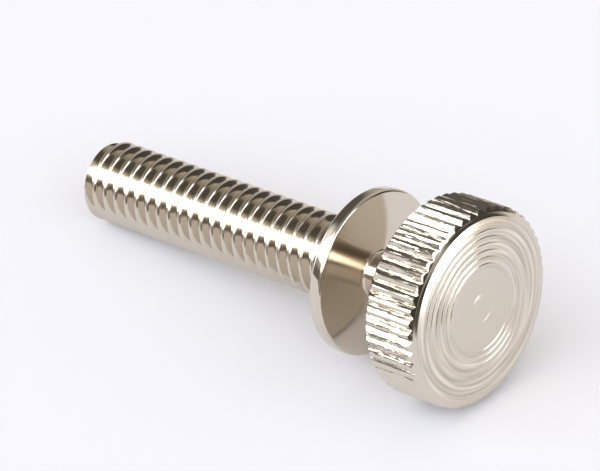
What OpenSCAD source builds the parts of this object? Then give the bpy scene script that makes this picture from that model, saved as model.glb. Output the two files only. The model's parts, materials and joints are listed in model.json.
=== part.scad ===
// Knurled thumb screw with a waisted neck and a stop collar, M4 thread, lying at rest on its side.
// Millimetres. The origin is on the screw's axis, where the collar's underside meets the shank.
// +Z is up. The tip points along -X and dips below the horizontal by the angle of the rest pose.

/* [Head] */
// Diameter over the knurl crests.
head_d = 9.6; // [9.4:0.1:12]
// Width of the head along the axis, from the rim of the end face to the back.
head_w = 2.88; // [2.4:0.04:6]
// Number of straight knurl teeth around the head, an even number.
knurl_count = 52; // [40:2:60]
// Depth of the V grooves of the knurl.
knurl_depth = 0.2; // [0.1:0.01:0.26]
// Width of the flat left along each knurl crest.
crest_flat = 0.18; // [0.06:0.01:0.24]
// Width of the smooth ring that both chamfers leave inside the grooves.
run_out_ring = 0.04; // [0.02:0.01:0.06]
// Length of the front chamfer along the axis.
front_chamfer = 0.18; // [0.1:0.02:0.5]

/* [End face] */
// Diameter of the end face at its rim.
face_d = 8.52; // [7.8:0.04:8.6]
// Fall of the plain band between the rim and the front chamfer.
edge_fall = 0.05; // [0.02:0.01:0.12]
// Width of the sloping rim band of the end face.
rim_band = 0.34; // [0.2:0.02:0.6]
// Height that the rim band climbs towards the middle.
rim_rise = 0.05; // [0.03:0.01:0.15]
// Height of the crown inside the rim band.
crown_rise = 0.07; // [0.05:0.01:0.3]
// Diameter of the small boss left at the turning centre.
pip_d = 1.3; // [0.8:0.1:2]
// Height of that boss above the crown.
pip_rise = 0.06; // [0.03:0.01:0.15]

/* [Neck] */
// Diameter of the neck between head and collar.
neck_d = 2.0; // [1.8:0.1:3.6]
// Length of the neck, from the back of the head to the collar.
neck_len = 3.3; // [2.5:0.1:6]
// Radius of the fillets at both ends of the neck.
neck_fillet = 0.2; // [0.1:0.05:0.5]

/* [Collar] */
// Outside diameter of the stop collar.
collar_d = 8.0; // [7:0.1:8.2]
// Thickness of the collar.
collar_t = 0.68; // [0.5:0.02:1.2]
// Radius of the rounded edges of the collar's rim.
collar_round = 0.16; // [0.05:0.01:0.24]

/* [Shank] */
// Nominal size of the metric thread that the shank carries.
thread_size = 4.0; // [3:0.5:6]
// Amount by which the thread crests lie under the nominal diameter.
crest_allowance = 0.04; // [0.03:0.01:0.16]
// Length of the shank from the collar's underside to the tip.
shank_len = 16.5; // [10:0.5:25]
// Size of the 45 degree chamfer at the tip.
tip_chamfer = 0.25; // [0.1:0.05:0.6]

/* [Hidden] */
$fn = 96;

head_r = head_d / 2;
root_r = head_r - knurl_depth;
edge_r = root_r - run_out_ring;
back_chamfer = head_r - edge_r;
face_r = face_d / 2;
neck_r = neck_d / 2;
collar_r = collar_d / 2;
shank_d = thread_size - crest_allowance;
shank_r = shank_d / 2;
tip_r = shank_r - tip_chamfer;
pip_r = pip_d / 2;

// Stations along the axis, measured from the rim of the end face towards the tip.
neck_at = head_w;
collar_at = neck_at + neck_len;
seat_at = collar_at + collar_t;
tip_at = seat_at + shank_len;

// Rest pose: the screw lies on two knurl crests at the back of the head and on the shank by the tip.
tooth_angle = 360 / knurl_count;
crest_angle = asin(crest_flat / head_d);
rest_head_r = head_r * cos(tooth_angle / 2 - crest_angle);
rest_head_at = head_w - back_chamfer;
rest_tip_at = tip_at - tip_chamfer;
rest_angle = atan2(rest_head_r - shank_r, rest_tip_at - rest_head_at);

// The crown and the pip are caps of spheres. The pip's sphere runs on a little way inside the crown.
function ball_radius(r, rise) = (r * r + rise * rise) / (2 * rise);
crown_r = face_r - rim_band;
crown_ball = ball_radius(crown_r, crown_rise);
face_height = rim_rise + crown_rise;
pip_ball = ball_radius(pip_r, pip_rise);
pip_sink = 0.04;

// Overlap between fused bodies, and clear margin past a cutting form.
fuse = 0.2;
margin = 1;

// Facets of the large flat arcs and of the small rounds.
arc_steps = 720;
round_steps = 48;

// Section of the knurl: one trapezoid tooth repeated around the head.
function polar(r, a) = [r * cos(a), r * sin(a)];
knurl_points = [
    for (i = [0 : knurl_count - 1])
        for (p = [[root_r, 0], [head_r, tooth_angle / 2 - crest_angle], [head_r, tooth_angle / 2 + crest_angle]])
            polar(p[0], i * tooth_angle + p[1])
];

// Half section of the turned head, its end face bounded by the arc of the crown.
// The knurl ends at both sides on a chamfer that reaches in past the bottom of its grooves.
module head_section() {
    polygon([
        [0, -rim_rise],
        [crown_r, -rim_rise],
        [face_r, 0],
        [edge_r, edge_fall],
        [head_r, edge_fall + front_chamfer],
        [head_r, head_w - back_chamfer],
        [edge_r, head_w],
        [0, head_w]
    ]);
    intersection() {
        translate([0, crown_ball - face_height]) circle(r = crown_ball, $fn = arc_steps);
        translate([0, -face_height - margin]) square([crown_r, face_height + margin]);
    }
}

// Half section of the pip, a shallow cap whose edge lies inside the crown.
module pip_section() {
    intersection() {
        translate([0, pip_ball - face_height - pip_rise]) circle(r = pip_ball, $fn = arc_steps);
        translate([0, -face_height - margin]) square([crown_r, margin + pip_sink]);
    }
}

module knurl_bar() {
    translate([0, 0, -margin]) linear_extrude(height = head_w + 2 * margin) polygon(knurl_points);
}

module head() {
    intersection() {
        rotate_extrude() {
            head_section();
            pip_section();
        }
        knurl_bar();
    }
}

// Quarter fillet between the neck and a flat end, drawn in the half section.
module fillet_section(size) {
    difference() {
        translate([-fuse, -fuse]) square([size + fuse, size + fuse]);
        translate([size, size]) circle(r = size, $fn = round_steps);
    }
}

module neck() {
    rotate_extrude() {
        translate([0, neck_at - fuse]) square([neck_r, neck_len + 2 * fuse]);
        translate([neck_r, neck_at]) fillet_section(neck_fillet);
        translate([neck_r, collar_at]) mirror([0, 1]) fillet_section(neck_fillet);
    }
}

module collar() {
    rotate_extrude() {
        translate([0, collar_at]) square([collar_r - collar_round, collar_t]);
        translate([0, collar_at + collar_round]) square([collar_r, collar_t - 2 * collar_round]);
        for (at = [collar_at + collar_round, seat_at - collar_round])
            translate([collar_r - collar_round, at]) circle(r = collar_round, $fn = round_steps);
    }
}

// The shank is the plain cylinder over the thread crests.
module shank() {
    rotate_extrude() polygon([
        [0, seat_at - fuse],
        [shank_r, seat_at - fuse],
        [shank_r, rest_tip_at],
        [tip_r, tip_at],
        [0, tip_at]
    ]);
}

// The turned part stands on its end face here, with its axis along +Z towards the tip.
module turned_part() {
    head();
    neck();
    collar();
    shank();
}

// Lays the axis along -X, tips it by the rest angle and brings the collar's seat to the origin.
module thumb_screw() {
    color("Silver")
        rotate([0, -90 - rest_angle, 0])
            translate([0, 0, -seat_at])
                turned_part();
}

thumb_screw();
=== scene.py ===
import json
import math
import random

import bmesh
import bpy
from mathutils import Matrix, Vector


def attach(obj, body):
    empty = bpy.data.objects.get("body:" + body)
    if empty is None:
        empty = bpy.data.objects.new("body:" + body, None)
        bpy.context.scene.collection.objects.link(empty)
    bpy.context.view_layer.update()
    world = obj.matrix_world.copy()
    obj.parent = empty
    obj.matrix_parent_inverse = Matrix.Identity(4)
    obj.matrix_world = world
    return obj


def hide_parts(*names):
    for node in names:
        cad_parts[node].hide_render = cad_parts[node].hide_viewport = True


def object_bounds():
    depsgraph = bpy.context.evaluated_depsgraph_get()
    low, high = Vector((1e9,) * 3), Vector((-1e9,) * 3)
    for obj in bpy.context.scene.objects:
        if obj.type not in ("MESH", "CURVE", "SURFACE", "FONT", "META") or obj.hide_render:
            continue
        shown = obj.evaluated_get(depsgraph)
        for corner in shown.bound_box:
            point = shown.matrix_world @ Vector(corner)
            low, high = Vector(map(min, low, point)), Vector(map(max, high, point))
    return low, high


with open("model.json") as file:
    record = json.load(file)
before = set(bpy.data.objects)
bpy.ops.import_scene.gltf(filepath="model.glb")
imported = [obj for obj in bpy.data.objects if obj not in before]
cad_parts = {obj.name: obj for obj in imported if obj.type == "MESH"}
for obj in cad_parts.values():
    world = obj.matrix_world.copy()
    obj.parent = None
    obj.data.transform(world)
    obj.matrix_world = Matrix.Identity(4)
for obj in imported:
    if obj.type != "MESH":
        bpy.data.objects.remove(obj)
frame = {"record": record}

bl_info = {
    "name": "Thumb Screw",
    "version": (1, 0, 0),
    "blender": (4, 5, 0),
    "location": "3D View > Sidebar > Thumb Screw",
    "description": "Builds a plated thumb screw with a knurled head, a stop collar and a metric thread",
    "category": "Add Mesh",
}

MM = 0.001
NODE = "thumb_screw"
BODY = "root"
PIECE = "thumb_screw_turned"
TIGHT = 1e-7

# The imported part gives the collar's seat, the axis towards the tip and the size of the shank.
SHANK = {mount["name"]: mount for mount in frame["record"]["mounts"]}["thread_shank"]
SEAT = Vector(SHANK["pos_m"])
AXIS = Vector(SHANK["axis"]).normalized()
CREST_R = SHANK["dims"]["r_mm"] * MM
FULL_THREAD = SHANK["dims"]["length_mm"] * MM
REST_ANGLE = math.atan2(-AXIS.z, -AXIS.x)
CAD_LOW, CAD_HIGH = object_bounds()


# ---------------------------------------------------------------- sizes and colours


def length(name, description, default):
    """A length property whose default is given in millimetres."""
    return bpy.props.FloatProperty(
        name=name, description=description, default=default * MM,
        min=0.0, precision=5, subtype="DISTANCE", unit="LENGTH")


def colour(name, description, default):
    return bpy.props.FloatVectorProperty(
        name=name, description=description, default=default,
        min=0.0, max=1.0, size=3, subtype="COLOR")


class TurnedSizes(bpy.types.PropertyGroup):
    """Sizes of the head, the neck and the collar."""

    head_d: length("Head diameter", "Diameter over the knurl crests", 9.6)
    head_w: length("Head width", "Width of the head along the axis", 2.867)
    knurl_count: bpy.props.IntProperty(
        name="Knurl teeth", description="Straight teeth around the head", default=52, min=12)
    knurl_depth: length("Knurl depth", "Depth of the grooves", 0.2)
    run_out_ring: length("Run-out ring", "Smooth ring that both chamfers leave inside the grooves", 0.04)
    front_chamfer: length("Front chamfer", "Length of the front chamfer along the axis", 0.14)
    face_d: length("End face diameter", "Diameter of the end face at its rim", 8.7)
    edge_fall: length("Edge fall", "Fall of the plain band from the rim to the front chamfer", 0.07)
    rim_band: length("Rim band", "Width of the sloping band round the end face", 0.34)
    rim_rise: length("Rim rise", "Height that the rim band climbs", 0.05)
    crown_rise: length("Crown rise", "Height of the crown inside the rim band", 0.09)
    ring_pitch: length("Ring pitch", "Distance between the turned rings of the end face", 0.326)
    ring_height: length("Ring height", "Height of the turned rings", 0.018)
    ring_inner: length("Inner ring", "Radius of the innermost turned ring", 2.14)
    pip_d: length("Pip diameter", "Diameter of the boss at the turning centre", 1.3)
    pip_rise: length("Pip rise", "Height of the boss at the turning centre", 0.025)
    pip_groove: length("Pip groove", "Depth of the shallow groove round the boss", 0.014)
    neck_d: length("Neck diameter", "Diameter of the waisted neck", 2.0)
    neck_len: length("Neck length", "Length from the head to the collar", 3.3)
    neck_fillet: length("Neck fillet", "Radius at both ends of the neck", 0.2)
    collar_d: length("Collar diameter", "Outside diameter of the stop collar", 8.0)
    collar_t: length("Collar thickness", "Thickness of the stop collar", 0.68)
    collar_round: length("Collar round", "Radius of the collar's rounded rim", 0.16)


class ThreadSizes(bpy.types.PropertyGroup):
    """Sizes of the metric thread."""

    pitch: length("Pitch", "Advance of the thread in one turn", 0.7)
    flank: bpy.props.FloatProperty(
        name="Flank", description="Angle of the flanks from the plane across the axis",
        default=math.radians(22), min=math.radians(15), max=math.radians(45),
        subtype="ANGLE", unit="ROTATION")
    crest_round: length("Crest round", "Radius of the rounded crest", 0.095)
    root_round: length("Root round", "Radius of the rounded root", 0.15)
    start: length("First crest", "Height of the first crest above the seat, at the top", 0.437)
    tip_chamfer: length("Tip chamfer", "Size of the chamfer at the tip", 0.25)


class Finish(bpy.types.PropertyGroup):
    """Colours of the plating and of the table."""

    nickel: colour("Nickel", "Reflection colour of the plating", (0.68, 0.62, 0.53))
    table: colour("Table", "Colour of the table", (0.93, 0.93, 0.95))
    backdrop: colour("Backdrop", "Colour behind the table", (0.94, 0.94, 0.98))


# ---------------------------------------------------------------- modelling helpers


def open_mesh(obj):
    """Puts the object, alone, in edit mode."""
    if bpy.context.mode != "OBJECT":
        bpy.ops.object.mode_set(mode="OBJECT")
    bpy.ops.object.select_all(action="DESELECT")
    bpy.context.view_layer.objects.active = obj
    obj.select_set(True)
    bpy.ops.object.mode_set(mode="EDIT")
    bpy.ops.mesh.select_mode(type="VERT")


def close_mesh():
    bpy.ops.object.mode_set(mode="OBJECT")


def ring_now():
    """Numbers of the selected vertices."""
    shape = bmesh.from_edit_mesh(bpy.context.active_object.data)
    return [vertex.index for vertex in shape.verts if vertex.select]


def pick(test, among=None):
    """Selects the vertices whose place passes the test, all over or among some numbers."""
    bpy.ops.mesh.select_all(action="DESELECT")
    mesh = bpy.context.active_object.data
    shape = bmesh.from_edit_mesh(mesh)
    shape.verts.ensure_lookup_table()
    vertices = shape.verts if among is None else [shape.verts[number] for number in among]
    for vertex in vertices:
        if test(vertex.co):
            vertex.select_set(True)
    shape.select_flush_mode()
    bmesh.update_edit_mesh(mesh)


def radius_of(place):
    return math.hypot(place.x, place.y)


def scale_ring(factor):
    bpy.ops.transform.resize(value=(factor, factor, 1), center_override=(0, 0, 0))


def turn_ring(angle):
    """Turns the selection about the axis. With no window the operator turns the other way."""
    bpy.ops.transform.rotate(value=-angle, orient_axis="Z", center_override=(0, 0, 0))


def lift_ring(height):
    bpy.ops.transform.translate(value=(0, 0, height))


def run_rings(places):
    """Extrudes the selected ring through a row of (radius, height, sideways shift) places."""
    for before, after in zip(places, places[1:]):
        bpy.ops.mesh.extrude_region_move(
            TRANSFORM_OT_translate={"value": (-before[2], 0, after[1] - before[1])})
        scale_ring(after[0] / before[0])
        bpy.ops.transform.translate(value=(after[2], 0, 0))


def centred(places):
    return [(r, height, 0.0) for r, height in places]


def draw_line(places):
    """Draws a line of vertices through (radius, height) places in the open mesh."""
    bpy.ops.mesh.select_all(action="SELECT")
    bpy.ops.mesh.merge(type="CENTER")
    bpy.ops.transform.translate(value=(places[0][0], 0, places[0][1]))
    for before, after in zip(places, places[1:]):
        bpy.ops.mesh.extrude_region_move(
            TRANSFORM_OT_translate={"value": (after[0] - before[0], 0, after[1] - before[1])})


def apply_modifier(obj, kind, **settings):
    bpy.context.view_layer.objects.active = obj
    modifier = obj.modifiers.new(kind.lower(), kind)
    for name, value in settings.items():
        setattr(modifier, name, value)
    bpy.ops.object.modifier_apply(modifier=modifier.name)


def arc(centre, radius, start, end, steps):
    """Places along an arc of the half section, between two angles in degrees."""
    angles = [math.radians(start + (end - start) * i / steps) for i in range(steps + 1)]
    return [(centre[0] + radius * math.cos(a), centre[1] + radius * math.sin(a)) for a in angles]


# ---------------------------------------------------------------- head, neck and collar

# One knurl tooth, from the middle of a groove to the middle of the next. Each place gives its share of
# the tooth's angle and its share of the groove's depth. The flanks are nearly straight and round over
# into a narrow crest.
TOOTH = (
    (0.00, 0.00), (0.07, 0.17), (0.17, 0.42), (0.29, 0.69), (0.41, 0.91),
    (0.50, 1.00), (0.59, 0.91), (0.71, 0.69), (0.83, 0.42), (0.93, 0.17),
)
KNURL_ROWS = 7
KNURL_SEED = 11
# The most that a crest is worn, as a share of its radius, and leans, as a share of a tooth.
CREST_WEAR = 0.004
CREST_LEAN = 0.03
# Narrow band that breaks a turned edge.
SOFT_EDGE = 0.012 * MM


def gap_round(a, b):
    """Distance between two shares of a tooth, the short way round."""
    return abs((a - b + 0.5) % 1.0 - 0.5)


def share_of(place, tooth_angle):
    return (math.atan2(place.y, place.x) / tooth_angle) % 1.0


def pick_phase(ring, phase, tooth_angle):
    """Selects the vertices of a ring that stand at one place of their teeth."""

    def stands_there(place):
        share = share_of(place, tooth_angle)
        gaps = [gap_round(share, tooth_place[0]) for tooth_place in TOOTH]
        return gaps[phase] == min(gaps)

    pick(stands_there, ring)


def edge_radius(sizes):
    """Radius at which both chamfers end, just inside the grooves."""
    return sizes.head_d / 2 - sizes.knurl_depth - sizes.run_out_ring


def depth_of_seat(sizes):
    """Distance from the rim of the end face to the collar's seat, along the axis."""
    return sizes.head_w + sizes.neck_len + sizes.collar_t


def knurl_section(sizes, depth_share):
    """Radius at one depth of the knurl, and the heights where it meets the two chamfers."""
    head_r = sizes.head_d / 2
    edge_r = edge_radius(sizes)
    r = head_r - sizes.knurl_depth * (1 - depth_share)
    front = sizes.edge_fall + sizes.front_chamfer * (r - edge_r) / (head_r - edge_r)
    return r, front, sizes.head_w - (r - edge_r)


# Each turned ring of the end face is a low ridge, steep on both sides, with a flat between it and the
# next. Each place gives its distance from the ridge's middle, as a share of the pitch, and its share of
# the ridge's height.
RIDGE = (
    (0.24, 0.0), (0.14, 0.2), (0.05, 0.8), (-0.03, 0.98), (-0.11, 0.75), (-0.20, 0.2), (-0.30, 0.0),
    (-0.50, 0.0),
)
RING_COUNT = 6
RING_SEED = 5
# The rings' middle and the boss stand a little off the axis.
RING_SHIFT = 0.07 * MM
PIP_SHIFT = 0.15 * MM
PIP_ROWS = 6
# The groove round the boss: distance outside the boss in millimetres, share of its depth.
PIP_GROOVE = ((0.15, 0.0), (0.12, 0.25), (0.08, 0.75), (0.05, 1.0))


def face_places(sizes):
    """Half section of the end face from its rim to the middle, with the drift of the inner rings."""
    rim_r = sizes.face_d / 2
    crown_r = rim_r - sizes.rim_band
    pip_r = sizes.pip_d / 2
    slope = sizes.rim_rise / sizes.rim_band

    def height(r):
        if r > crown_r:
            return (r - rim_r) * slope
        return -sizes.rim_rise - sizes.crown_rise * (1 - (r / crown_r) ** 2)

    def shift(r):
        return RING_SHIFT * (1 - r / rim_r)

    places = [(rim_r, 0.0, 0.0), (rim_r - SOFT_EDGE, height(rim_r - SOFT_EDGE), 0.0)]
    places += [(r, height(r), shift(r)) for r in (crown_r + 0.03 * MM, crown_r - 0.03 * MM)]
    chance = random.Random(RING_SEED)
    for ring in reversed(range(RING_COUNT)):
        ring_height = sizes.ring_height * chance.uniform(0.6, 1.15)
        for distance, share in RIDGE:
            r = sizes.ring_inner + (ring + distance) * sizes.ring_pitch
            places.append((r, height(r) - share * ring_height, shift(r)))
    for share in (0.8, 0.6, 0.4, 0.2):
        r = pip_r + (sizes.ring_inner - sizes.ring_pitch - pip_r) * share
        places.append((r, height(r), shift(r) + (PIP_SHIFT - shift(r)) * (1 - share)))
    for distance, share in PIP_GROOVE:
        r = pip_r + distance * MM
        places.append((r, height(r) + share * sizes.pip_groove, PIP_SHIFT))
    top = height(pip_r)
    for i in range(PIP_ROWS):
        share = 1 - i / PIP_ROWS
        rise = sizes.pip_rise * (1 - share ** 2) - sizes.pip_groove * 0.6 * share ** 3
        places.append((pip_r * share, top - rise, PIP_SHIFT))
    return places


def waist_places(sizes):
    """Half section from the back of the head to the underside of the collar."""
    neck_r = sizes.neck_d / 2
    collar_r = sizes.collar_d / 2
    front = sizes.head_w + sizes.neck_len
    seat = front + sizes.collar_t
    fillet = sizes.neck_fillet
    edge = sizes.collar_round
    places = [(edge_radius(sizes), sizes.head_w)]
    places += arc((neck_r + fillet, sizes.head_w + fillet), fillet, 270, 180, 5)
    places += arc((neck_r + fillet, front - fillet), fillet, 180, 90, 5)
    places += arc((collar_r - edge, front + edge), edge, -90, 0, 6)
    places += arc((collar_r - edge, seat - edge), edge, 0, 90, 6)
    places.append((CREST_R / 2, seat))
    return centred(places)


class THUMBSCREW_OT_turned_body(bpy.types.Operator):
    """Turns the head, the neck and the collar, and rolls the straight knurl"""

    bl_idname = "thumb_screw.turned_body"
    bl_label = "Turned body"

    def execute(self, context):
        sizes = context.scene.thumb_screw_turned
        tooth_angle = math.tau / sizes.knurl_count
        rim_r = sizes.face_d / 2

        bpy.ops.object.select_all(action="DESELECT")
        bpy.ops.mesh.primitive_circle_add(
            vertices=len(TOOTH) * sizes.knurl_count, radius=rim_r, fill_type="NOTHING")
        body = context.active_object
        body.name = PIECE
        body.data.name = PIECE
        open_mesh(body)
        bpy.ops.mesh.select_all(action="SELECT")
        rim = ring_now()
        self.spread_columns(rim, tooth_angle)
        self.roll_knurl(sizes, rim_r, tooth_angle)
        self.wear_knurl(sizes, tooth_angle)

        self.pick_ring(rim_r, 0.0)
        run_rings(face_places(sizes))
        bpy.ops.mesh.merge(type="CENTER")

        self.pick_ring(edge_radius(sizes), sizes.head_w)
        run_rings(waist_places(sizes))
        bpy.ops.mesh.merge(type="CENTER")
        bpy.ops.mesh.select_all(action="SELECT")
        bpy.ops.mesh.remove_doubles(threshold=TIGHT)
        bpy.ops.mesh.normals_make_consistent(inside=False)
        close_mesh()
        return {"FINISHED"}

    def pick_ring(self, r, height):
        pick(lambda place: abs(radius_of(place) - r) < TIGHT and abs(place.z - height) < TIGHT)

    def spread_columns(self, rim, tooth_angle):
        """Turns each vertex of the rim to its place round the tooth."""
        even = 1 / len(TOOTH)
        for phase, (share, _) in enumerate(TOOTH):
            now = phase * even
            pick(lambda place: gap_round(share_of(place, tooth_angle), now) < even / 100, rim)
            if share != now:
                turn_ring((share - now) * tooth_angle)

    def roll_knurl(self, sizes, rim_r, tooth_angle):
        """Runs the rim out over the plain band and the chamfer, along the knurl and in at the back."""
        edge_r = edge_radius(sizes)
        depths = [knurl_section(sizes, depth) for _, depth in TOOTH]
        bpy.ops.mesh.select_all(action="SELECT")
        run_rings(centred([
            (rim_r, 0.0), (rim_r + SOFT_EDGE, SOFT_EDGE * sizes.edge_fall / (edge_r - rim_r)),
            (edge_r - SOFT_EDGE, sizes.edge_fall * 0.97), (edge_r, sizes.edge_fall)]))
        ring = self.extrude_ring(ring_now())
        for phase, (r, front, _) in enumerate(depths):
            pick_phase(ring, phase, tooth_angle)
            scale_ring(r / edge_r)
            lift_ring(front - sizes.edge_fall)
        first_row = sizes.edge_fall + sizes.front_chamfer * 1.2
        last_row = sizes.head_w - (sizes.head_d / 2 - edge_r) * 1.2
        heights = [first_row + (last_row - first_row) * i / (KNURL_ROWS - 1) for i in range(KNURL_ROWS)]
        ring = self.extrude_ring(ring)
        for phase, (_, front, _) in enumerate(depths):
            pick_phase(ring, phase, tooth_angle)
            lift_ring(heights[0] - front)
        for before, after in zip(heights, heights[1:]):
            ring = self.extrude_ring(ring)
            lift_ring(after - before)
        ring = self.extrude_ring(ring)
        for phase, (_, _, back) in enumerate(depths):
            pick_phase(ring, phase, tooth_angle)
            lift_ring(back - heights[-1])
        ring = self.extrude_ring(ring)
        for phase, (r, _, back) in enumerate(depths):
            pick_phase(ring, phase, tooth_angle)
            scale_ring(edge_r / r)
            lift_ring(sizes.head_w - back)

    def extrude_ring(self, ring):
        pick(lambda place: True, ring)
        bpy.ops.mesh.extrude_region_move()
        return ring_now()

    def wear_knurl(self, sizes, tooth_angle):
        """Gives each crest its own small lean and its own height."""
        chance = random.Random(KNURL_SEED)
        root_r = sizes.head_d / 2 - sizes.knurl_depth
        pick(lambda place: radius_of(place) > root_r + sizes.knurl_depth * 0.7)
        knurl = ring_now()
        for tooth in range(sizes.knurl_count):
            def on_crest(place):
                turn = (math.atan2(place.y, place.x) / tooth_angle - tooth) % sizes.knurl_count
                return 0.25 < turn < 0.75
            pick(on_crest, knurl)
            turn_ring(chance.uniform(-CREST_LEAN, CREST_LEAN) * tooth_angle)
            scale_ring(1 - chance.uniform(0.1, 1) * CREST_WEAR)


# ---------------------------------------------------------------- threaded shank

TURN_STEPS = 84
BLANK_STEPS = 192
ROUND_STEPS = 4
# Turns that the helix runs on at each end before it is cut off square.
SPARE_TURNS = 2
# Depth that the shank is sunk in the collar, so that the two fuse.
BURY = 0.15 * MM


def thread_places(thread):
    """Half section of one pitch of the thread, from the middle of a groove to the next."""
    flank = math.degrees(thread.flank)
    to_tangent = 1 / math.sin(thread.flank) - 1
    sharp_crest = CREST_R + thread.crest_round * to_tangent
    sharp_root = sharp_crest - thread.pitch / 2 / math.tan(thread.flank)
    root_middle = (0.0, sharp_root + thread.root_round * (to_tangent + 1))
    crest_middle = (thread.pitch / 2, CREST_R - thread.crest_round)
    half = arc(root_middle, thread.root_round, -90, -flank, ROUND_STEPS)
    half += arc(crest_middle, thread.crest_round, 180 - flank, 90, ROUND_STEPS)
    rest = [(thread.pitch - z, r) for z, r in reversed(half[:-1])]
    return [(r, z) for z, r in half + rest]


class THUMBSCREW_OT_threaded_shank(bpy.types.Operator):
    """Cuts the thread along the shank and chamfers its tip"""

    bl_idname = "thumb_screw.threaded_shank"
    bl_label = "Threaded shank"

    def execute(self, context):
        thread = context.scene.thumb_screw_thread
        tip = FULL_THREAD + thread.tip_chamfer
        turns = math.ceil(tip / thread.pitch) + 2 * SPARE_TURNS

        bpy.ops.object.select_all(action="DESELECT")
        bpy.ops.mesh.primitive_plane_add(size=thread.pitch)
        shank = context.active_object
        shank.name = "threaded_shank"
        open_mesh(shank)
        draw_line(thread_places(thread))
        close_mesh()
        apply_modifier(
            shank, "SCREW", axis="Z", angle=math.tau, screw_offset=thread.pitch, iterations=turns,
            steps=TURN_STEPS, render_steps=TURN_STEPS)
        open_mesh(shank)
        bpy.ops.mesh.select_all(action="SELECT")
        bpy.ops.mesh.remove_doubles(threshold=TIGHT)
        bpy.ops.transform.translate(
            value=(0, 0, thread.start - thread.pitch * (0.5 + SPARE_TURNS)))
        for height, side in ((-BURY, -1), (tip + BURY, 1)):
            bpy.ops.mesh.select_all(action="SELECT")
            bpy.ops.mesh.bisect(
                plane_co=(0, 0, height), plane_no=(0, 0, side), use_fill=True,
                clear_outer=True, threshold=TIGHT)
        bpy.ops.mesh.select_all(action="SELECT")
        bpy.ops.mesh.normals_make_consistent(inside=False)
        close_mesh()

        blank = self.chamfered_blank(context, thread, tip)
        apply_modifier(shank, "BOOLEAN", operation="INTERSECT", solver="EXACT", object=blank)
        bpy.data.objects.remove(blank)
        return {"FINISHED"}

    def chamfered_blank(self, context, thread, tip):
        """A bar that is wider than the thread, with the tip's chamfer run out to its side."""
        bar_r = CREST_R * 1.2
        tip_r = CREST_R - thread.tip_chamfer
        side_top = tip - (bar_r - tip_r)
        bottom = -2 * BURY
        bpy.ops.object.select_all(action="DESELECT")
        bpy.ops.mesh.primitive_cylinder_add(
            vertices=BLANK_STEPS, radius=bar_r, depth=side_top - bottom,
            location=(0, 0, (side_top + bottom) / 2))
        blank = context.active_object
        bpy.ops.object.transform_apply(location=True)
        open_mesh(blank)
        pick(lambda place: place.z > side_top - TIGHT)
        bpy.ops.mesh.extrude_region_move(
            TRANSFORM_OT_translate={"value": (0, 0, tip - side_top)})
        scale_ring(tip_r / bar_r)
        close_mesh()
        return blank


# ---------------------------------------------------------------- materials


def new_material(name, base, roughness, metallic=1.0):
    material = bpy.data.materials.new(name)
    material.use_nodes = True
    shader = material.node_tree.nodes["Principled BSDF"]
    shader.inputs["Base Color"].default_value = (*base, 1)
    shader.inputs["Metallic"].default_value = metallic
    shader.inputs["Roughness"].default_value = roughness
    return material


class Nodes:
    """Adds nodes to one node tree and links each to the values that it works on."""

    def __init__(self, tree):
        self.tree = tree

    def add(self, kind, *inputs, **settings):
        node = self.tree.nodes.new(kind)
        for name, value in settings.items():
            setattr(node, name, value)
        for socket, value in zip(node.inputs, inputs):
            if isinstance(value, bpy.types.NodeSocket):
                self.tree.links.new(value, socket)
            elif value is not None:
                socket.default_value = value
        return node

    def maths(self, operation, *inputs):
        return self.add("ShaderNodeMath", *inputs, operation=operation).outputs[0]

    def axis_place(self):
        """Distance from the screw's axis, angle round it, and height above the collar's seat."""
        place = self.add("ShaderNodeTexCoord").outputs["Object"]
        turned = self.add("ShaderNodeMapping", place, vector_type="TEXTURE")
        turned.inputs["Location"].default_value = SEAT
        turned.inputs["Rotation"].default_value = (0, -math.pi / 2 - REST_ANGLE, 0)
        x, y, z = self.add("ShaderNodeSeparateXYZ", turned.outputs[0]).outputs
        squares = [self.maths("MULTIPLY", side, side) for side in (x, y)]
        across = self.maths("SQRT", self.maths("ADD", *squares))
        return across, self.maths("ARCTAN2", y, x), z

    def noise(self, x, y, z, detail=2.0):
        """Noise over three lengths, each already divided by the size of its own grain."""
        place = self.add("ShaderNodeCombineXYZ", x, y, z).outputs[0]
        grain = self.add("ShaderNodeTexNoise", noise_dimensions="3D")
        self.tree.links.new(place, grain.inputs["Vector"])
        grain.inputs["Scale"].default_value = 1.0
        grain.inputs["Detail"].default_value = detail
        return grain.outputs["Fac"]

    def bump(self, height, size, normal=None):
        """Relief of the given size on the surface, on top of an earlier one if there is one."""
        node = self.add("ShaderNodeBump")
        node.inputs["Distance"].default_value = size
        self.tree.links.new(height, node.inputs["Height"])
        if normal is not None:
            self.tree.links.new(normal, node.inputs["Normal"])
        return node.outputs["Normal"]

    def shade(self, base, share):
        """Base colour of the shader, taken down by a share that changes from place to place."""
        node = self.add("ShaderNodeVectorMath", base, operation="SCALE")
        self.tree.links.new(share, node.inputs["Scale"])
        self.tree.links.new(node.outputs[0], self.tree.nodes["Principled BSDF"].inputs["Base Color"])

    def finish(self, normal):
        self.tree.links.new(normal, self.tree.nodes["Principled BSDF"].inputs["Normal"])


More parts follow.
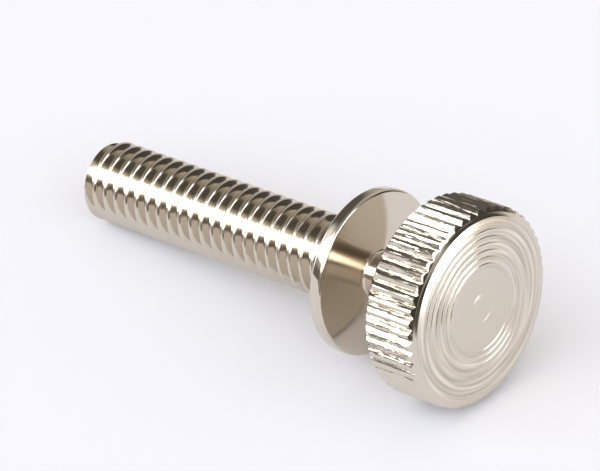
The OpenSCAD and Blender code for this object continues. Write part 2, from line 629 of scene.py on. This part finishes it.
def plated_turned(name, base, roughness, mark, depth, tarnish=0.0, calm_r=0.0):
    """Plating over fine turning marks that run round the axis. Inside the calm radius they fade.

    The noise runs over the cosine and sine of the angle, so it has no seam.
    """
    material = new_material(name, base, roughness)
    nodes = Nodes(material.node_tree)
    across, angle, height = nodes.axis_place()
    way = nodes.maths("ADD", across, height)
    aside, ahead = nodes.maths("COSINE", angle), nodes.maths("SINE", angle)
    strength = nodes.add("ShaderNodeMapRange", across, calm_r * 0.9, calm_r * 1.15 + TIGHT).outputs["Result"]
    if tarnish:
        bands = nodes.noise(nodes.maths("MULTIPLY", way, 1 / (mark * 2.5)), aside, ahead, detail=1.5)
        bands = nodes.maths("MULTIPLY", nodes.maths("SUBTRACT", bands, 0.5), strength)
        nodes.shade(base, nodes.maths("MULTIPLY_ADD", bands, -tarnish, 1.0))
    marks = nodes.noise(nodes.maths("MULTIPLY", way, 1 / mark), aside, ahead, detail=3.0)
    nodes.finish(nodes.bump(nodes.maths("MULTIPLY", marks, strength), depth))
    return material


def plated_lathe_face(name, base, roughness, spread, mark, depth):
    """Plating over a face turned on the lathe: its fine grooves spread each reflection outwards."""
    material = plated_turned(name, base, roughness, mark, depth)
    shader = material.node_tree.nodes["Principled BSDF"]
    shader.inputs["Anisotropic"].default_value = spread
    nodes = Nodes(material.node_tree)
    place = nodes.add("ShaderNodeTexCoord").outputs["Object"]
    from_seat = nodes.add("ShaderNodeVectorMath", place, SEAT, operation="SUBTRACT").outputs[0]
    round_axis = nodes.add("ShaderNodeVectorMath", AXIS, from_seat, operation="CROSS_PRODUCT").outputs[0]
    outwards = nodes.add("ShaderNodeVectorMath", round_axis, AXIS, operation="CROSS_PRODUCT").outputs[0]
    outwards = nodes.add("ShaderNodeVectorMath", outwards, operation="NORMALIZE").outputs[0]
    nodes.tree.links.new(outwards, shader.inputs["Tangent"])
    return material


# Radius at which the grain of the knurl is measured.
KNURL_R = 4.8 * MM


def plated_knurl(name, base, roughness):
    """Plating over the rolled knurl: fine scratches along the teeth and small dents."""
    material = new_material(name, base, roughness)
    nodes = Nodes(material.node_tree)
    across, angle, height = nodes.axis_place()
    relief = 0.03 * MM
    grain_across = 0.3 * MM
    normal = None
    # Width round the knurl and length along it, of the scratches and then of the dents.
    for grain_round, grain_along in ((0.11 * MM, 1.6 * MM), (0.22 * MM, 0.5 * MM)):
        grain = nodes.noise(
            nodes.maths("MULTIPLY", angle, KNURL_R / grain_round),
            nodes.maths("MULTIPLY", height, 1 / grain_along),
            nodes.maths("MULTIPLY", across, 1 / grain_across), detail=1.0)
        normal = nodes.bump(grain, relief, normal)
    nodes.finish(normal)
    return material


# Edges that turn by more than this stay crisp.
CRISP_EDGE = math.radians(35)


class THUMBSCREW_OT_one_piece(bpy.types.Operator):
    """Fuses the shank to the turned body, smooths its shading and lays it at rest"""

    bl_idname = "thumb_screw.one_piece"
    bl_label = "One piece"

    def execute(self, context):
        sizes = context.scene.thumb_screw_turned
        body = bpy.data.objects[PIECE]
        shank = bpy.data.objects["threaded_shank"]
        seat_height = depth_of_seat(sizes)

        shank.location = (0, 0, seat_height)
        bpy.ops.object.select_all(action="DESELECT")
        context.view_layer.objects.active = shank
        shank.select_set(True)
        bpy.ops.object.transform_apply(location=True)
        apply_modifier(body, "BOOLEAN", operation="UNION", solver="EXACT", object=shank)
        bpy.data.objects.remove(shank)

        open_mesh(body)
        bpy.ops.mesh.select_all(action="SELECT")
        bpy.ops.mesh.remove_doubles(threshold=TIGHT)
        bpy.ops.mesh.normals_make_consistent(inside=False)
        bpy.ops.transform.translate(value=(0, 0, -seat_height))
        shape = bmesh.from_edit_mesh(body.data)
        open_edges = sum(not edge.is_manifold for edge in shape.edges)
        close_mesh()
        if open_edges:
            raise RuntimeError(f"the screw has {open_edges} open edges")
        bpy.ops.object.shade_smooth_by_angle(angle=CRISP_EDGE)

        body.rotation_euler = (0, -math.pi / 2 - REST_ANGLE, 0)
        body.location = SEAT
        bpy.ops.object.select_all(action="DESELECT")
        body.select_set(True)
        bpy.ops.object.transform_apply(location=True, rotation=True)
        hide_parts(NODE)
        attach(body, BODY)
        return {"FINISHED"}


# Places of the finishes in the piece's material list.
SMOOTH, END_FACE, KNURL, THREAD, COLLAR_FACE, HEAD_BACK = range(6)
# Painted light: the back of the head, in the shade of the collar, gets a brighter copy of the plating, so
# that it and its reflection in the collar face read lighter.
BACK_OF_HEAD_PAINTED_LIGHT = 1.1
# A face whose normal is nearer to the axis than this cosine counts as square to it.
FLAT_COSINE = 0.97


class THUMBSCREW_OT_plating(bpy.types.Operator):
    """Gives the end face, the knurl, the smooth parts, the thread and the flat faces their finish"""

    bl_idname = "thumb_screw.plating"
    bl_label = "Plating"

    def execute(self, context):
        sizes = context.scene.thumb_screw_turned
        finish = context.scene.thumb_screw_finish
        body = bpy.data.objects[PIECE]
        body.data.materials.clear()
        nickel = finish.nickel
        # Painted light: a brighter copy of the plating for the back of the head.
        painted_light_nickel = [part * BACK_OF_HEAD_PAINTED_LIGHT for part in nickel]
        fine_mark = 0.05 * MM
        smooth = plated_turned("nickel_smooth", nickel, roughness=0.07, mark=fine_mark, depth=0.0004 * MM)
        end_face = plated_turned(
            "nickel_end_face", nickel, roughness=0.13, mark=0.065 * MM, depth=0.0008 * MM,
            tarnish=1.2, calm_r=2.1 * MM)
        knurl = plated_knurl("nickel_knurl", nickel, roughness=0.15)
        thread = plated_turned("nickel_thread", nickel, roughness=0.11, mark=fine_mark, depth=0.0012 * MM)
        collar_face = plated_lathe_face(
            "nickel_collar_face", nickel, roughness=0.13, spread=0.9, mark=fine_mark, depth=0.0015 * MM)
        # The back of the head takes the brighter copy of the plating, as painted light.
        head_back = plated_lathe_face(
            "nickel_head_back_painted_light", painted_light_nickel, roughness=0.3, spread=0.6, mark=fine_mark, depth=0.003 * MM)
        for material in (smooth, end_face, knurl, thread, collar_face, head_back):
            body.data.materials.append(material)
        seat_height = depth_of_seat(sizes)
        edge_r = edge_radius(sizes)
        chamfer_end = sizes.edge_fall + sizes.front_chamfer * 0.55
        for face in body.data.polygons:
            centre = face.center - SEAT
            height = centre.dot(AXIS) + seat_height
            across = (centre - AXIS * centre.dot(AXIS)).length
            if height > seat_height:
                face.material_index = THREAD
            elif abs(face.normal.dot(AXIS)) > FLAT_COSINE and height > sizes.head_w - TIGHT:
                face.material_index = COLLAR_FACE if height > sizes.head_w + TIGHT else HEAD_BACK
            elif across > edge_r * 1.002 and chamfer_end < height < sizes.head_w:
                face.material_index = KNURL
            elif across < sizes.face_d / 2 and height < sizes.edge_fall:
                face.material_index = END_FACE
            else:
                face.material_index = SMOOTH
        return {"FINISHED"}


# ---------------------------------------------------------------- stage


class StageSizes(bpy.types.PropertyGroup):
    """Camera and table."""

    azimuth: bpy.props.FloatProperty(
        name="Azimuth", description="Side that the camera looks from", default=math.radians(41.4),
        subtype="ANGLE", unit="ROTATION")
    elevation: bpy.props.FloatProperty(
        name="Elevation", description="Height of the camera above the horizon",
        default=math.radians(34.65), subtype="ANGLE", unit="ROTATION")
    distance: length("Distance", "From the camera to the point it looks at", 212.1)
    lens: bpy.props.FloatProperty(
        name="Lens", description="Focal length on a 36 mm sensor", default=280.9, unit="CAMERA")
    aim: bpy.props.FloatVectorProperty(
        name="Aim", description="Point that the camera looks at", size=3, subtype="XYZ",
        unit="LENGTH", precision=5, default=(-0.597 * MM, -3.938 * MM, 3.650 * MM))
    table: length("Table size", "Side of the table", 1200)
    table_edge: length("Table edge", "Distance from the origin to the near edge of the table", 24.5)


# The room that the plating mirrors. Each stretch has a name, the azimuth of its middle, half its width,
# its lowest and highest elevation and the width of its soft edge, in degrees. Then comes the share of
# the walls' light that a wall keeps there, or the light that a window adds.
WALL_LIGHT = 0.5
WALL_TINT = (1.0, 0.94, 0.86)
WALLS = (
    ("ground", 0, 190, -90, -8, 4, 1.85),
    ("dark corner", 165, 32, 12, 75, 14, 0.25),
    ("dark doorway", 49, 21, -6, 26, 5, 0.15),
    ("back wall", 90, 25, -8, 45, 16, 1.5),
    ("table edge", -65, 22, -2, 12, 8, 0.7),
    ("dark chairs", -115, 25, -4, 11, 6, 0.35),
    ("dark shelf", -10, 28, -17, 11, 5, 0.12),
    ("ceiling", 0, 60, 55, 90, 20, 0.5),
)
WINDOW_TINT = (0.97, 0.98, 1.0)
WINDOWS = (
    ("main window", -82, 66, 19, 54, 6, 7.0),
    ("left window", -165, 17, -8, 17, 6, 3.0),
    ("left curtain", -158, 14, 16, 44, 12, 0.8),
    ("right window", 3, 26, 13, 48, 6, 3.0),
    ("low window", 33, 7, -17, -3, 3, 5.0),
)
# The light on matt surfaces, red, green and blue: even light from the walls, and the share of each
# window's light. The two add up to about one on the open table.
MATT_WALLS = (0.68, 0.63, 0.575)
MATT_WINDOWS = (0.202, 0.228, 0.28)


class THUMBSCREW_OT_stage(bpy.types.Operator):
    """Sets the camera, the table and the light"""

    bl_idname = "thumb_screw.stage"
    bl_label = "Stage"

    def execute(self, context):
        stage = context.scene.thumb_screw_stage
        finish = context.scene.thumb_screw_finish
        scene = context.scene
        a, e = stage.azimuth, stage.elevation
        back = Vector((math.sin(a) * math.cos(e), -math.cos(a) * math.cos(e), math.sin(e)))
        bpy.ops.object.camera_add(location=Vector(stage.aim) + back * stage.distance)
        camera = context.active_object
        camera.rotation_euler = (-back).to_track_quat("-Z", "Y").to_euler()
        camera.data.sensor_width = 36
        camera.data.lens = stage.lens
        camera.data.clip_start = 10 * MM
        camera.data.clip_end = 10
        scene.camera = camera

        bpy.ops.object.select_all(action="DESELECT")
        bpy.ops.mesh.primitive_plane_add(
            size=stage.table, location=(stage.table_edge - stage.table / 2, 0, CAD_LOW.z))
        table = context.active_object
        table.name = "table"
        matt = new_material("table", finish.table, roughness=0.7, metallic=0.0)
        matt.node_tree.nodes["Principled BSDF"].inputs["Specular IOR Level"].default_value = 0.0
        table.data.materials.append(matt)
        self.make_world(scene, finish)
        scene.view_settings.view_transform = "Standard"
        return {"FINISHED"}

    def make_world(self, scene, finish):
        """Lights the scene with pale walls, some darker than others, and large soft windows."""
        world = bpy.data.worlds.new("studio")
        world.use_nodes = True
        nodes = Nodes(world.node_tree)
        away = nodes.add("ShaderNodeTexCoord").outputs["Generated"]
        x, y, z = nodes.add("ShaderNodeSeparateXYZ", away).outputs
        azimuth = nodes.maths("ARCTAN2", y, x)
        elevation = nodes.maths("ARCSINE", z)

        def patch(place):
            return self.soft_patch(nodes, azimuth, elevation, *place)

        walls = WALL_LIGHT
        for _, *place, share in WALLS:
            kept = nodes.maths("MULTIPLY_ADD", patch(place), share - 1, 1)
            walls = nodes.maths("MULTIPLY", walls, kept)
        windows = 0.0
        for _, *place, light in WINDOWS:
            windows = nodes.maths("MULTIPLY_ADD", patch(place), light, windows)
        rays = nodes.add("ShaderNodeLightPath").outputs
        warm = nodes.add("ShaderNodeVectorMath", WALL_TINT, operation="SCALE")
        nodes.tree.links.new(walls, warm.inputs["Scale"])
        cool = nodes.add("ShaderNodeVectorMath", WINDOW_TINT, operation="SCALE")
        nodes.tree.links.new(windows, cool.inputs["Scale"])
        on_metal = nodes.add(
            "ShaderNodeVectorMath", warm.outputs[0], cool.outputs[0], operation="ADD").outputs[0]
        shade = nodes.add("ShaderNodeVectorMath", MATT_WINDOWS, operation="SCALE")
        nodes.tree.links.new(windows, shade.inputs["Scale"])
        on_matt = nodes.add("ShaderNodeVectorMath", shade.outputs[0], MATT_WALLS, operation="ADD").outputs[0]
        light = self.choose(nodes, rays["Is Glossy Ray"], on_matt, on_metal)
        colour = self.choose(nodes, rays["Is Camera Ray"], light, (*finish.backdrop, 1))
        background = nodes.tree.nodes["Background"]
        nodes.tree.links.new(colour, background.inputs["Color"])
        background.inputs["Strength"].default_value = 1.0
        scene.world = world

    def choose(self, nodes, switch, off, on):
        """The first colour where the switch is nought, the second where it is one."""
        node = nodes.add("ShaderNodeMix", data_type="RGBA")
        nodes.tree.links.new(switch, node.inputs["Factor"])
        for name, value in (("A", off), ("B", on)):
            socket = next(item for item in node.inputs if item.name == name and item.type == "RGBA")
            if isinstance(value, bpy.types.NodeSocket):
                nodes.tree.links.new(value, socket)
            else:
                socket.default_value = value
        return next(item for item in node.outputs if item.type == "RGBA")

    def soft_patch(self, nodes, azimuth, elevation, middle, half_width, low, high, soft):
        """One inside a stretch of the surroundings, nought outside it, with a soft edge between."""
        middle, half_width, low, high, soft = map(math.radians, (middle, half_width, low, high, soft))
        aside = nodes.maths("WRAP", nodes.maths("SUBTRACT", azimuth, middle), math.pi, -math.pi)
        above = nodes.maths("SUBTRACT", elevation, (low + high) / 2)
        shares = []
        for value, half in ((aside, half_width), (above, (high - low) / 2)):
            edge = nodes.add(
                "ShaderNodeMapRange", nodes.maths("ABSOLUTE", value), interpolation_type="SMOOTHSTEP")
            edge.inputs["From Min"].default_value = half + soft / 2
            edge.inputs["From Max"].default_value = half - soft / 2
            shares.append(edge.outputs["Result"])
        return nodes.maths("MULTIPLY", *shares)


# ---------------------------------------------------------------- panel and registration


class THUMBSCREW_PT_panel(bpy.types.Panel):
    """Sizes, finish and steps of the thumb screw"""

    bl_idname = "THUMBSCREW_PT_panel"
    bl_label = "Thumb Screw"
    bl_space_type = "VIEW_3D"
    bl_region_type = "UI"
    bl_category = "Thumb Screw"

    def draw(self, context):
        layout = self.layout
        for name in GROUPS:
            box = layout.box()
            group = getattr(context.scene, name)
            for key in group.bl_rna.properties.keys():
                if key not in ("rna_type", "name"):
                    box.prop(group, key)
        for operator in STEPS:
            layout.operator(operator.bl_idname)


GROUPS = {
    "thumb_screw_turned": TurnedSizes,
    "thumb_screw_thread": ThreadSizes,
    "thumb_screw_finish": Finish,
    "thumb_screw_stage": StageSizes,
}
STEPS = (
    THUMBSCREW_OT_turned_body,
    THUMBSCREW_OT_threaded_shank,
    THUMBSCREW_OT_one_piece,
    THUMBSCREW_OT_plating,
    THUMBSCREW_OT_stage,
)


def register():
    for item in (*GROUPS.values(), *STEPS, THUMBSCREW_PT_panel):
        bpy.utils.register_class(item)
    for name, group in GROUPS.items():
        setattr(bpy.types.Scene, name, bpy.props.PointerProperty(type=group))


def unregister():
    for name in GROUPS:
        delattr(bpy.types.Scene, name)
    for item in reversed((*GROUPS.values(), *STEPS, THUMBSCREW_PT_panel)):
        bpy.utils.unregister_class(item)


def main():
    register()
    bpy.ops.thumb_screw.turned_body()
    bpy.ops.thumb_screw.threaded_shank()
    bpy.ops.thumb_screw.one_piece()
    bpy.ops.thumb_screw.plating()
    bpy.ops.thumb_screw.stage()


if __name__ == "__main__":
    main()
